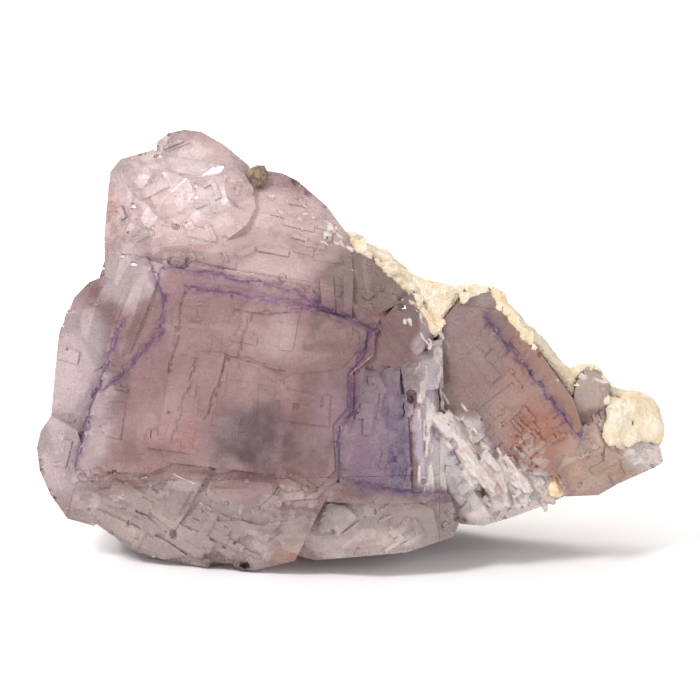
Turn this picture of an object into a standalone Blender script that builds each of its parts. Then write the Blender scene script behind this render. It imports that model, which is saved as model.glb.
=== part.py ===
"""Fluorite hand specimen: intergrown cubes with cleaved faces, on a backing of cream rock.

The shapes are laid out in the display frame, in millimetres: x runs right, y runs away from the viewer
and z runs up the display face. Once made, the specimen leans back by LEAN and stands on its broken base.
"""

import math

import bmesh
import bpy
from mathutils import Matrix, Vector, noise

# Driving dimensions, in millimetres and radians
LEAN = math.radians(15.0)
BASE_DEPTH = 16.0
CONTACT_GAP = 0.35
TO_METRES = 0.001

# A crystal starts as its outline, drawn from this depth in front of all the faces that cleave it
FRONT = -14.0
# The block that cuts the base and bounds the room round a crystal is larger than the specimen
LARGEST_BLOCK = 300.0
# A cleavage that would take off less than this is left out
LEAST_SPALL = 0.002
# The smallest face of a crystal that its neighbours keep clear of, in square millimetres
LEAST_FACE = 0.05
# Faces that meet at less than this angle are one flat face
FLAT_ANGLE = math.radians(0.2)
CUT_TOLERANCE = 1e-5

# The rock is roughened on a grid of this size, then simplified
ROCK_GRAIN = 1.5
ROCK_FACES_KEPT = 0.32
ROCK_SWELL = 2.4
ROCK_SWELL_ACROSS = 9.0
ROCK_ROUGHNESS = 1.0
ROCK_LUMPS_ACROSS = 3.2
BACK_OF_VIEW = 30.0

# The brown grain on the crest is a rough ball
GRAIN_MIDDLE = (-14.0, 17.4, 59.1)
GRAIN_RADIUS = 1.9
GRAIN_ROUGHNESS = 0.22
GRAIN_LUMPS_ACROSS = 1.1


def face_through(point, normal):
    """A crystal face, as a point of it and the direction that it looks."""
    return Vector(point), Vector(normal).normalized()


def behind(face, depth):
    """The same face, moved into the crystal."""
    point, normal = face
    return point - normal * depth, normal


def on_face(face, x, z, proud=0.0):
    """The point of a face that shows at x, z from the front, raised off the face by some height."""
    point, normal = face
    y = point.y - (normal.x * (x - point.x) + normal.z * (z - point.z)) / normal.y
    return Vector((x, y, z)) + normal * proud


def turned_face(face, start, end, degrees):
    """The next face over an edge, turned back by an angle. The edge runs anticlockwise round the face."""
    normal = face[1]
    first = on_face(face, *start)
    along = (on_face(face, *end) - first).normalized()
    outward = along.cross(normal)
    angle = math.radians(degrees)
    return first, (normal * math.cos(angle) + outward * math.sin(angle)).normalized()


# The crystals that each of the other pieces lies against
ROCK_NEIGHBOURS = [
    "big_cube", "shoulder", "slope", "rear_mass", "little_cube", "pale_step", "violet_strip", "second_cube",
    "small_prism", "end_block", "end_tip", "lower_right", "bottom_block", "underside",
]
CHIP_NEIGHBOURS = ["second_cube", "end_block", "lower_right"]
GRAIN_NEIGHBOURS = ["crest", "crest_slab", "shoulder"]

# The big cube's front face leans away to the left, the second cube's to the lower left
BIG_FACE = face_through((3.5, 2.0, 36.0), (-0.25, -1.0, -0.03))
FLANK_FACE = face_through((-34.3, 12.3, 37.3), (-0.75, -1.0, 0.13))
UNDER_FACE = face_through((-10.0, 6.1, 10.7), (-0.344, -1.0, -0.684))
SHOULDER_FACE = face_through((-13.4, 6.2, 44.4), (-0.16, -1.0, 0.85))
SHOULDER_RIGHT_FACE = face_through((-13.4, 6.2, 44.4), (0.042, -1.0, 0.762))
SLOPE_FACE = face_through((-4.7, 4.5, 41.3), (0.165, -1.0, 0.692))
CREST_FACE = face_through((-27.3, 11.0, 52.5), (-0.12, -1.0, 0.3))
CREST_LEFT_FACE = face_through((-33.0, 12.1, 54.0), (-1.2, -1.0, 0.1))
CREST_TOP_FACE = face_through((-27.0, 13.1, 59.5), (0.0, -1.0, 1.4))
SECOND_FACE = face_through((20.3, 8.6, 38.5), (-0.233, -1.0, -0.188))
PRISM_FACE = face_through((35.5, 12.8, 26.0), (-0.1, -1.0, -0.05))
END_FACE = face_through((38.0, 12.6, 21.0), (0.35, -1.0, 0.25))
LOWER_RIGHT_FACE = face_through((22.0, 11.8, 16.0), (-0.05, -1.0, -0.42))
BOTTOM_LEFT_FACE = face_through((2.0, 5.8, 10.5), (-0.3, -1.0, -0.5))
BOTTOM_RIGHT_FACE = face_through((2.0, 5.8, 10.5), (0.3, -1.0, -0.45))


def clear_scene():
    for old in list(bpy.data.objects):
        bpy.data.objects.remove(old)


def new_collection(name, shown=True):
    made = bpy.data.collections.new(name)
    made.hide_render = not shown
    bpy.context.scene.collection.children.link(made)
    return made


def helper(name, shape):
    """A construction shape: it is joined or cut with, and never shown."""
    mesh = bpy.data.meshes.new(name)
    shape.to_mesh(mesh)
    shape.free()
    made = bpy.data.objects.new(name, mesh)
    made.hide_render = True
    made.display_type = "WIRE"
    bpy.data.collections["helpers"].objects.link(made)
    return made


def convex_shape(corners):
    """The smallest flat-faced solid that holds these corners."""
    shape = bmesh.new()
    points = [shape.verts.new(corner) for corner in corners]
    made = bmesh.ops.convex_hull(shape, input=points)
    unused = set(made["geom_interior"]) | set(made["geom_unused"])
    inner = [item for item in unused if isinstance(item, bmesh.types.BMVert)]
    bmesh.ops.delete(shape, geom=inner, context="VERTS")
    bmesh.ops.recalc_face_normals(shape, faces=shape.faces)
    return shape


def cleave(shape, face):
    """Splits a convex solid along a face and keeps what lies behind it."""
    point, normal = face
    if max((vert.co - point).dot(normal) for vert in shape.verts) < LEAST_SPALL:
        return
    everything = shape.verts[:] + shape.edges[:] + shape.faces[:]
    cut = bmesh.ops.bisect_plane(
        shape, geom=everything, dist=CUT_TOLERANCE, plane_co=point, plane_no=normal, clear_outer=True
    )
    rim = [edge for edge in cut["geom_cut"] if isinstance(edge, bmesh.types.BMEdge)]
    if rim:
        bmesh.ops.holes_fill(shape, edges=rim)


def crystal(name, outline, faces, rim, back, taper=0.82):
    """A crystal: its outline from the front, tapering behind its rim, cleaved by its faces."""
    middle_x = sum(x for x, z in outline) / len(outline)
    middle_z = sum(z for x, z in outline) / len(outline)
    corners = []
    for x, z in outline:
        corners.append((x, FRONT, z))
        corners.append((x, rim, z))
        corners.append((middle_x + (x - middle_x) * taper, back, middle_z + (z - middle_z) * taper))
    shape = convex_shape(corners)
    for face in faces:
        cleave(shape, face)
    bmesh.ops.dissolve_limit(shape, angle_limit=FLAT_ANGLE, verts=shape.verts, edges=shape.edges)
    return helper(name, shape)


def plate(name, face, outline, proud, root=2.0):
    """A cleavage plate on a face: it stands proud by its thickness and is rooted in the crystal."""
    shape = bmesh.new()
    front = shape.faces.new([shape.verts.new(on_face(face, x, z, proud)) for x, z in outline])
    rear = bmesh.ops.extrude_face_region(shape, geom=[front])
    moved = [item for item in rear["geom"] if isinstance(item, bmesh.types.BMVert)]
    bmesh.ops.translate(shape, verts=moved, vec=-face[1] * (proud + root))
    bmesh.ops.recalc_face_normals(shape, faces=shape.faces)
    bmesh.ops.triangulate(shape, faces=shape.faces)
    return helper(name, shape)


def dish(name, face, x, z, across, deep):
    """A shell-shaped scar, as the ball that hollows it out of a face."""
    radius = (across * across / 4 + deep * deep) / (2 * deep)
    shape = bmesh.new()
    bmesh.ops.create_icosphere(shape, subdivisions=3, radius=radius)
    bmesh.ops.translate(shape, verts=shape.verts, vec=on_face(face, x, z, radius - deep))
    return helper(name, shape)


def pit(name, centre, size):
    """A pocket left by a grain that has come away, as the lump that filled it."""
    shape = bmesh.new()
    bmesh.ops.create_icosphere(shape, subdivisions=1, radius=1.0)
    bmesh.ops.scale(shape, verts=shape.verts, vec=size)
    bmesh.ops.translate(shape, verts=shape.verts, vec=centre)
    return helper(name, shape)


def big_cube():
    """The big cube, recessed where its corner broke off, and the growth layers on its face."""
    main_layer = [
        (-28.1, 45.7), (-20.0, 44.5), (-10.0, 42.7), (-5.0, 41.1), (3.6, 36.1), (3.4, 32.4), (0.4, 29.9),
        (0.3, 24.2), (-1.7, 21.6), (-0.9, 15.0), (-1.9, 13.7), (-5.0, 11.0), (-10.0, 10.6), (-11.4, 13.9),
        (-17.5, 14.5), (-22.5, 15.0), (-27.5, 15.5), (-30.0, 14.7), (-36.0, 14.8), (-41.2, 15.3),
        (-39.0, 24.7), (-37.4, 27.6), (-34.0, 29.6), (-32.1, 31.0), (-31.7, 32.9), (-30.0, 34.1),
        (-28.1, 37.0), (-27.8, 41.4), (-29.1, 42.6),
    ]
    inner_layer = [
        (-24.6, 42.6), (-20.0, 42.0), (-19.2, 42.7), (-15.0, 42.0), (-10.0, 40.7), (-7.0, 40.0),
        (-1.5, 38.0), (2.6, 36.0), (2.2, 32.6), (-0.4, 29.6), (-0.4, 24.6), (-2.6, 22.0), (-2.2, 15.2),
        (-5.0, 12.6), (-9.8, 12.0), (-12.0, 14.6), (-17.5, 15.2), (-22.5, 15.8), (-27.6, 16.4),
        (-28.8, 20.0), (-28.2, 23.5), (-27.0, 30.0), (-25.2, 40.0),
    ]
    upper_right_layer = [
        (-16.0, 39.0), (-14.5, 38.5), (-11.5, 38.2), (-11.0, 40.0), (-8.5, 39.3), (-6.0, 39.0),
        (-1.7, 37.3), (1.5, 35.8), (1.2, 33.0), (-1.2, 30.4), (-6.0, 29.8), (-10.0, 29.5), (-14.0, 31.2),
        (-18.5, 32.5), (-16.5, 36.0),
    ]
    left_layer = [
        (-23.5, 32.0), (-20.6, 31.1), (-20.4, 30.3), (-21.0, 28.0), (-22.0, 25.0), (-23.8, 18.0),
        (-27.8, 18.6), (-26.6, 23.8), (-25.6, 24.1), (-24.4, 28.0),
    ]
    top_step = [
        (-19.0, 45.3), (-14.0, 44.5), (-10.0, 43.5), (-4.5, 41.9), (1.0, 39.8), (4.0, 37.8), (3.7, 35.8),
        (-5.0, 40.2), (-19.0, 43.6),
    ]
    outline = [
        (-31.0, 46.8), (-28.0, 46.0), (3.7, 36.3), (-1.9, 13.6), (-4.5, 10.8), (-10.0, 10.4),
        (-41.4, 15.2), (-34.6, 38.0),
    ]
    return [
        crystal("big_cube", outline, [behind(BIG_FACE, 0.6)], rim=18.0, back=34.0),
        plate("main_layer", BIG_FACE, main_layer, 0.0),
        plate("inner_layer", BIG_FACE, inner_layer, 0.35),
        plate("upper_right_layer", BIG_FACE, upper_right_layer, 0.5),
        plate("left_layer", BIG_FACE, left_layer, 0.47),
        plate("top_step", BIG_FACE, top_step, -0.4, root=3.0),
    ]


def left_flank():
    """The pale side left of the big face, in three layers, and the rounded lobe at its foot."""
    upper = [(-28.6, 44.0), (-30.6, 47.4), (-36.4, 43.8), (-39.6, 38.4), (-38.5, 30.0), (-33.0, 33.0)]
    main = [
        (-33.5, 38.2), (-39.0, 39.4), (-42.6, 39.2), (-43.9, 35.8), (-44.5, 30.0), (-45.0, 24.3),
        (-45.2, 22.0), (-42.5, 13.0), (-39.5, 14.5),
    ]
    fin = [
        (-35.8, 44.8), (-37.6, 43.8), (-39.3, 43.4), (-41.8, 41.1), (-42.9, 38.6), (-43.2, 36.0),
        (-36.0, 36.0),
    ]
    lobe = [
        (-44.9, 23.4), (-46.6, 21.0), (-47.2, 18.4), (-46.8, 15.0), (-45.1, 11.3), (-42.6, 7.7),
        (-38.6, 6.6), (-37.0, 8.0), (-39.5, 14.0), (-41.0, 21.0),
    ]
    lobe_face = face_through((-41.5, 14.7, 18.0), (-0.7, -1.0, -0.1))
    lobe_foot = face_through((-43.0, 16.2, 12.5), (-0.35, -1.0, -0.75))
    return [
        crystal("flank_upper", upper, [behind(FLANK_FACE, 0.4)], rim=16.0, back=30.0),
        crystal("flank_main", main, [behind(FLANK_FACE, 0.6)], rim=20.0, back=34.0, taper=0.45),
        crystal("fin", fin, [behind(FLANK_FACE, 2.2)], rim=20.0, back=28.0, taper=0.5),
        crystal("lobe", lobe, [lobe_face, lobe_foot], rim=20.0, back=31.0, taper=0.4),
    ]


def crest():
    """The bright broken lump at the top left and the pale slab behind it."""
    outline = [
        (-36.9, 44.3), (-37.0, 50.5), (-36.4, 57.6), (-36.1, 59.9), (-34.5, 61.9), (-28.8, 63.6),
        (-16.0, 59.8), (-14.6, 57.6), (-14.2, 54.5), (-15.5, 51.9), (-26.0, 44.0), (-34.0, 42.0),
    ]
    slab = [
        (-29.3, 62.5), (-29.1, 64.6), (-27.4, 65.9), (-25.0, 66.4), (-22.5, 66.1), (-19.0, 64.1),
        (-15.2, 60.9), (-14.8, 57.0), (-28.0, 57.0),
    ]
    lower_face = face_through((-22.0, 10.6, 53.3), (-0.1, -1.0, -0.2))
    right_face = face_through((-19.0, 11.05, 56.0), (0.7, -1.0, 0.55))
    slab_face = face_through((-23.0, 18.3, 62.0), (0.15, -1.0, 0.5))
    slab_left_face = face_through((-27.0, 18.6, 64.0), (-0.6, -1.0, 1.1))
    faces = [CREST_FACE, CREST_LEFT_FACE, CREST_TOP_FACE, lower_face, right_face]
    return [
        crystal("crest", outline, faces, rim=19.0, back=33.0, taper=0.55),
        crystal("crest_slab", slab, [slab_face, slab_left_face], rim=22.0, back=31.0, taper=0.6),
    ]


def shoulder():
    """The top of the big cube up to the ridge, and the slope that falls to the saddle."""
    outline = [
        (-28.3, 44.0), (-27.9, 48.9), (-14.6, 58.5), (-13.0, 60.4), (-10.0, 59.7), (-8.0, 58.7),
        (-3.5, 54.8), (0.0, 50.0), (0.5, 44.0), (-4.0, 38.0), (-20.0, 40.0),
    ]
    slope = [
        (-5.5, 40.0), (-4.9, 43.0), (-1.5, 48.3), (0.0, 50.0), (2.4, 47.7), (5.0, 45.6), (7.4, 43.7),
        (9.2, 42.0), (12.3, 38.3), (12.5, 32.0), (4.0, 30.0), (-4.0, 34.0),
    ]
    slope_right_face = face_through((3.5, 4.4, 38.5), (0.9, -1.0, 0.8))
    inside_cube = behind(BIG_FACE, 0.9)
    shoulder_faces = [SHOULDER_FACE, SHOULDER_RIGHT_FACE, inside_cube]
    slope_faces = [SLOPE_FACE, slope_right_face, inside_cube]
    return [
        crystal("shoulder", outline, shoulder_faces, rim=19.0, back=34.0, taper=0.6),
        crystal("slope", slope, slope_faces, rim=16.0, back=32.0, taper=0.6),
    ]


def rear_mass():
    """The broken back of the crystals, which none of them faces."""
    outline = [
        (-41.0, 14.0), (-42.0, 30.0), (-36.0, 44.0), (-34.0, 57.0), (-25.0, 62.0), (-12.0, 57.0),
        (0.0, 46.0), (9.0, 38.0), (14.0, 20.0), (12.0, 5.0), (-34.0, 5.0),
    ]
    faces = [
        face_through((-20.0, 21.0, 40.0), (0.0, -1.0, 0.0)),
        face_through((-34.0, 31.0, 40.0), (-0.75, 1.0, 0.2)),
        face_through((-22.0, 36.0, 45.0), (0.1, 1.0, 0.45)),
        face_through((-4.0, 35.0, 40.0), (0.5, 1.0, 0.7)),
        face_through((-10.0, 40.0, 14.0), (-0.2, 1.0, -0.25)),
        face_through((-30.0, 34.0, 12.0), (-0.6, 1.0, -0.5)),
        face_through((-38.5, 26.0, 52.0), (-1.0, 0.5, 0.35)),
    ]
    return [crystal("rear_mass", outline, faces, rim=27.0, back=41.0, taper=0.8)]


def blades():
    """The small bars and the tilted tablets that stand on the slope."""
    first = [(-4.7, 43.6), (-2.7, 43.9), (-2.3, 38.6), (-4.3, 39.4)]
    second = [(-2.6, 43.8), (-1.0, 43.8), (-1.0, 38.2), (-2.2, 38.6)]
    third = [(-1.1, 43.9), (0.3, 43.7), (0.1, 37.8), (-1.1, 38.2)]
    tablet = [(2.4, 41.0), (5.9, 42.6), (7.3, 40.0), (3.6, 38.2)]
    sliver = [(1.7, 40.9), (4.0, 42.5), (4.5, 41.9), (2.3, 40.3)]
    tablet_face = face_through((5.0, 6.4, 40.5), (0.3, -1.0, 0.5))
    return [
        plate("first_bar", SLOPE_FACE, first, 0.8),
        plate("second_bar", SLOPE_FACE, second, 0.4),
        plate("third_bar", SLOPE_FACE, third, 1.1),
        plate("tablet", tablet_face, tablet, 0.3, root=3.0),
        plate("sliver", tablet_face, sliver, 0.7, root=3.0),
    ]


def stepped_side():
    """The violet side of the big cube: tall strips, each further back, and a little cube at their top."""
    little = [(4.6, 37.3), (7.2, 40.4), (9.6, 42.0), (13.4, 36.6), (11.4, 33.4), (8.5, 31.3)]
    little_face = face_through((8.0, 5.4, 35.5), (0.05, -1.0, 0.12))
    little_side = turned_face(little_face, (11.2, 33.6), (7.7, 39.8), 55.0)
    pale_step = [(7.2, 33.0), (10.4, 34.0), (13.8, 34.8), (14.0, 27.5), (8.2, 26.5)]
    pale_face = face_through((10.0, 8.0, 31.0), (0.45, -1.0, 0.05))
    violet = [(-1.2, 37.2), (4.4, 37.0), (7.6, 33.2), (6.9, 12.0), (-1.6, 12.4)]
    violet_face = face_through((0.0, 4.2, 25.0), (0.28, -1.0, 0.02))
    dark_strip = [(5.0, 32.5), (8.2, 31.5), (9.2, 12.2), (5.5, 12.2)]
    dark_face = face_through((7.0, 7.0, 22.0), (0.5, -1.0, 0.02))
    lilac_strip = [(7.5, 31.0), (9.9, 30.0), (11.4, 12.0), (7.8, 12.0)]
    lilac_face = face_through((9.5, 8.3, 22.0), (0.1, -1.0, 0.02))
    last_strip = [(9.0, 30.5), (12.9, 30.0), (14.6, 11.2), (9.5, 11.5)]
    last_face = face_through((12.0, 9.8, 22.0), (0.6, -1.0, 0.05))
    foot = [(-6.0, 10.6), (-2.2, 13.3), (6.5, 12.6), (14.4, 11.6), (11.0, 10.3), (3.0, 10.2)]
    foot_left = face_through((0.0, 3.6, 12.0), (-0.25, -1.0, -0.5))
    foot_right = face_through((2.0, 3.6, 12.0), (0.4, -1.0, -0.35))
    return [
        crystal("little_cube", little, [little_face, little_side], rim=12.0, back=24.0, taper=0.9),
        crystal("pale_step", pale_step, [pale_face], rim=16.0, back=30.0),
        crystal("violet_strip", violet, [violet_face], rim=13.0, back=20.0, taper=0.9),
        crystal("dark_strip", dark_strip, [dark_face], rim=13.0, back=20.0, taper=0.9),
        crystal("lilac_strip", lilac_strip, [lilac_face], rim=13.0, back=20.0, taper=0.9),
        crystal("last_strip", last_strip, [last_face], rim=13.0, back=20.0, taper=0.9),
        crystal("strip_foot", foot, [foot_left, foot_right], rim=13.0, back=20.0),
    ]


def underside():
    """The cleaved lower part of the big cube, with its ledges in two directions."""
    outline = [
        (-41.4, 15.3), (-40.6, 11.5), (-38.4, 6.8), (-35.0, 4.0), (-32.5, 2.3), (-30.0, 1.0),
        (-22.0, 0.9), (-14.5, 0.0), (-8.3, 1.5), (-7.3, 5.0), (-4.4, 10.3), (-2.2, 13.8), (-9.0, 18.0),
        (-38.0, 18.0),
    ]
    low_face = turned_face(UNDER_FACE, (-38.0, 8.2), (-24.0, 1.6), 28.0)
    wide_ledge = [
        (-39.5, 13.8), (-36.0, 14.5), (-30.0, 14.4), (-27.5, 15.2), (-21.2, 14.8), (-26.6, 5.6),
        (-32.0, 8.6), (-36.5, 10.4),
    ]
    middle_ledge = [
        (-20.8, 13.9), (-17.5, 14.2), (-11.6, 13.7), (-11.0, 12.4), (-15.2, 7.9), (-17.6, 9.4),
        (-18.3, 10.4), (-21.7, 11.6),
    ]
    small_ledge = [(-13.2, 10.2), (-10.8, 12.4), (-9.9, 10.6), (-10.8, 9.7), (-12.2, 9.8)]
    lower_ledge = [(-26.0, 6.6), (-22.5, 10.4), (-15.6, 6.8), (-17.0, 4.4), (-20.0, 5.0), (-24.0, 4.0)]
    rim_ledge = [
        (-38.2, 9.4), (-32.5, 6.9), (-27.2, 4.4), (-24.5, 2.4), (-28.0, 1.8), (-33.0, 3.4), (-37.9, 7.2),
    ]
    faces = [UNDER_FACE, low_face, behind(BIG_FACE, 0.3)]
    return [
        crystal("underside", outline, faces, rim=19.0, back=37.0),
        plate("wide_ledge", UNDER_FACE, wide_ledge, 0.55),
        plate("middle_ledge", UNDER_FACE, middle_ledge, 0.75),
        plate("small_ledge", UNDER_FACE, small_ledge, 1.1),
        plate("lower_ledge", UNDER_FACE, lower_ledge, 0.35),
        plate("rim_ledge", UNDER_FACE, rim_ledge, 0.4),
    ]


def second_cube():
    """The second cube, with the sloping side along its upper right edge."""
    outline = [
        (13.2, 26.0), (13.7, 37.4), (17.5, 42.0), (20.5, 42.9), (22.2, 41.2), (26.0, 35.6), (30.0, 30.6),
        (33.3, 26.0), (35.0, 21.0), (34.4, 19.5), (31.0, 14.0), (20.0, 15.5),
    ]
    right_side = turned_face(SECOND_FACE, (33.7, 21.6), (20.3, 38.2), 48.0)
    top_side = turned_face(SECOND_FACE, (20.4, 40.6), (13.8, 37.4), 50.0)
    return [
        crystal("second_cube", outline, [SECOND_FACE, right_side, top_side], rim=19.0, back=33.0, taper=0.6),
    ]


def right_end():
    """The small prism, the block at the right-hand end and its drawn-out tip."""
    prism = [
        (33.3, 24.5), (34.0, 28.4), (35.0, 29.5), (36.0, 30.4), (38.2, 29.3), (39.2, 27.5), (38.3, 24.0),
        (36.0, 20.5), (34.0, 21.0),
    ]
    prism_right = turned_face(PRISM_FACE, (36.6, 22.0), (37.9, 27.5), 45.0)
    prism_top = turned_face(PRISM_FACE, (37.9, 27.5), (35.0, 29.4), 45.0)
    prism_left = turned_face(PRISM_FACE, (34.1, 28.6), (33.4, 24.6), 40.0)
    prism_faces = [PRISM_FACE, prism_right, prism_top, prism_left]
    block = [
        (30.8, 14.5), (32.2, 11.2), (37.3, 11.3), (40.0, 12.8), (42.6, 15.2), (42.5, 20.0),
        (42.2, 23.2), (41.0, 25.4), (39.3, 25.8), (36.5, 23.5), (33.5, 20.0),
    ]
    middle_face = turned_face(END_FACE, (31.0, 15.2), (39.0, 19.4), 24.0)
    low_face = turned_face(middle_face, (33.0, 11.9), (40.0, 16.0), 36.0)
    tip = [
        (38.0, 15.4), (40.0, 12.9), (43.5, 14.9), (45.8, 15.4), (47.2, 16.3), (46.9, 18.0), (46.5, 19.0),
        (44.0, 20.2), (38.5, 21.0),
    ]
    tip_face = face_through((42.0, 14.6, 17.5), (0.75, -1.0, 0.2))
    tip_low_face = face_through((42.0, 14.9, 16.0), (0.6, -1.0, -0.7))
    return [
        crystal("small_prism", prism, prism_faces, rim=17.0, back=28.0),
        crystal("end_block", block, [END_FACE, middle_face, low_face], rim=20.0, back=34.0),
        crystal("end_tip", tip, [tip_face, tip_low_face], rim=21.0, back=31.0),
    ]


def lower_right():
    """The cleaved plates under the second cube, each with a raw edge on its right."""
    outline = [
        (13.0, 17.0), (18.5, 18.0), (24.0, 16.8), (28.0, 15.6), (31.0, 14.6), (32.2, 11.2), (30.0, 10.1),
        (27.0, 9.0), (24.0, 7.9), (20.0, 6.7), (16.6, 7.0), (13.5, 9.0), (13.0, 12.0),
    ]
    first = [
        (12.9, 23.6), (15.1, 22.3), (16.4, 19.8), (18.1, 17.6), (21.1, 12.4), (17.5, 12.0), (14.5, 15.5),
        (12.6, 19.5),
    ]
    first_face = face_through((16.5, 9.2, 20.0), (-0.35, -1.0, -0.25))
    second = [(14.3, 15.6), (16.4, 15.4), (19.1, 11.1), (21.6, 7.4), (17.0, 7.2), (14.0, 10.5)]
    second_face = face_through((18.0, 10.6, 12.0), (-0.3, -1.0, -0.4))
    third = [(19.0, 16.5), (20.5, 17.8), (22.6, 14.0), (24.1, 9.6), (21.0, 8.6), (20.0, 13.0)]
    third_face = face_through((22.0, 10.7, 14.0), (-0.35, -1.0, -0.3))
    fourth = [(23.0, 16.5), (24.3, 17.2), (27.1, 12.8), (26.5, 9.4), (23.5, 9.0), (22.8, 13.5)]
    fourth_face = face_through((25.5, 11.2, 14.5), (-0.3, -1.0, -0.3))
    return [
        crystal("lower_right", outline, [LOWER_RIGHT_FACE], rim=18.0, back=36.0),
        plate("first_plate", first_face, first, 0.0, root=5.0),
        plate("second_plate", second_face, second, 0.0, root=5.0),
        plate("third_plate", third_face, third, 0.0, root=4.0),
        plate("fourth_plate", fourth_face, fourth, 0.0, root=4.0),
    ]


def bottom_block():
    """The cleaved block under the violet side, with a long plate across it."""
    outline = [
        (-9.0, 2.6), (-5.4, 1.6), (1.5, 2.7), (8.5, 2.8), (12.2, 4.7), (15.4, 5.1), (16.3, 7.0),
        (15.0, 11.5), (3.0, 12.4), (-4.0, 12.4), (-9.0, 8.0),
    ]
    across = [
        (-2.0, 4.9), (1.4, 7.6), (6.0, 10.2), (10.0, 10.3), (12.4, 9.2), (13.2, 5.6), (9.0, 3.5),
        (3.0, 3.2), (-1.2, 3.3),
    ]
    across_face = face_through((5.0, 7.6, 8.0), (0.12, -1.0, -0.46))
    corner = [(-3.6, 10.4), (-0.6, 10.2), (1.2, 8.4), (-1.6, 5.6), (-4.6, 6.4)]
    return [
        crystal("bottom_block", outline, [BOTTOM_LEFT_FACE, BOTTOM_RIGHT_FACE], rim=21.0, back=38.0),
        plate("across_plate", across_face, across, 0.0, root=4.0),
        plate("corner_plate", BOTTOM_LEFT_FACE, corner, 0.7),
    ]


def scars():
    """Shell-shaped scars on the crest and edges, and the pockets underneath."""
    crest_right = face_through((-19.0, 11.05, 56.0), (0.7, -1.0, 0.55))
    return [
        dish("scar_1", CREST_FACE, -27.4, 57.0, 11.5, 1.5),
        dish("scar_2", CREST_FACE, -20.4, 57.2, 9.0, 1.2),
        dish("scar_3", CREST_FACE, -31.8, 53.2, 8.5, 1.2),
        dish("scar_4", CREST_FACE, -25.2, 52.0, 8.5, 0.9),
        dish("scar_5", CREST_FACE, -32.2, 59.4, 7.5, 1.1),
        dish("scar_6", CREST_TOP_FACE, -24.0, 61.4, 11.0, 1.3),
        dish("scar_7", CREST_LEFT_FACE, -35.4, 55.0, 11.0, 1.4),
        dish("scar_8", crest_right, -16.6, 56.8, 6.0, 1.0),
        pit("pocket_1", (-18.6, 17.4, 0.4), (3.4, 2.4, 1.4)),
        pit("pocket_2", (-15.6, 15.6, 1.2), (1.5, 1.4, 1.2)),
        pit("pocket_3", (-10.2, 15.6, 0.8), (1.8, 1.5, 1.0)),
        pit("pocket_4", (-16.8, 8.9, 14.3), (1.9, 1.3, 0.5)),
        pit("pocket_5", (-3.2, 13.4, 1.6), (1.6, 1.8, 0.8)),
    ]


def rock_lumps():
    """The rough masses of the rock: behind the slope, in the saddle, along the edges and at the end."""
    behind_slope = [
        (-3.0, 46.0), (0.4, 49.6), (3.0, 48.2), (5.6, 46.7), (8.1, 44.9), (10.2, 42.6), (12.0, 40.0),
        (12.0, 24.0), (-4.0, 28.0),
    ]
    saddle = [
        (8.6, 41.0), (9.2, 43.2), (10.6, 42.3), (12.6, 41.9), (15.2, 42.7), (19.0, 42.2), (19.6, 40.4),
        (15.0, 37.0), (12.4, 34.6), (10.6, 38.0),
    ]
    upper_edge = [
        (20.6, 42.0), (23.0, 40.2), (24.4, 39.4), (25.6, 38.0), (28.2, 32.8), (29.8, 31.0), (31.3, 30.8),
        (33.0, 28.4), (34.4, 22.0), (20.0, 22.0),
    ]
    round_prism = [
        (31.6, 28.8), (33.6, 29.9), (36.0, 30.5), (38.1, 29.4), (39.3, 27.6), (39.6, 25.4), (36.0, 19.0),
        (32.0, 22.0),
    ]
    end_cap = [
        (38.8, 25.0), (39.8, 26.2), (42.0, 26.8), (44.4, 26.7), (45.9, 24.2), (46.5, 21.0), (46.8, 19.0),
        (43.0, 19.0), (38.0, 18.0),
    ]
    backing = [
        (-10.0, 14.0), (-6.0, 40.0), (3.0, 46.0), (14.0, 40.0), (24.0, 36.0), (38.0, 25.0), (41.0, 18.0),
        (30.0, 13.0), (12.0, 8.0), (-4.0, 8.0),
    ]
    slope_front = face_through((6.0, 17.0, 44.0), (0.4, -1.0, 0.6))
    saddle_front = face_through((13.6, 10.4, 38.0), (0.1, -1.0, 0.75))
    edge_front = face_through((27.0, 16.0, 33.0), (0.5, -1.0, 0.4))
    prism_front = face_through((36.0, 15.6, 27.0), (0.2, -1.0, 0.35))
    cap_front = face_through((43.5, 15.0, 22.5), (0.8, -1.0, 0.1))
    backing_front = face_through((10.0, 28.0, 25.0), (0.0, -1.0, 0.0))
    backing_upper = face_through((12.0, 40.0, 34.0), (0.1, 1.0, 0.5))
    backing_lower = face_through((14.0, 41.0, 14.0), (0.2, 1.0, -0.3))
    return [
        crystal("behind_slope", behind_slope, [slope_front], rim=24.0, back=36.0, taper=0.9),
        crystal("saddle", saddle, [saddle_front], rim=22.0, back=36.0, taper=0.9),
        crystal("upper_edge", upper_edge, [edge_front], rim=24.0, back=38.0, taper=0.9),
        crystal("round_prism", round_prism, [prism_front], rim=22.0, back=34.0, taper=0.9),
        crystal("end_cap", end_cap, [cap_front], rim=22.0, back=33.0, taper=0.9),
        crystal("backing", backing, [backing_front, backing_upper, backing_lower], rim=34.0, back=45.0),
    ]


def settle(target):
    """Makes the result of an object's modifiers its own mesh."""
    settled = bpy.data.meshes.new_from_object(target.evaluated_get(bpy.context.evaluated_depsgraph_get()))
    target.modifiers.clear()
    target.data = settled


def combine(target, others, operation):
    """Joins or cuts the target with each of the others, one after another."""
    for other in others:
        step = target.modifiers.new(operation.lower(), "BOOLEAN")
        step.operation = operation
        step.object = other
        step.solver = "EXACT"
        settle(target)


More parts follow.
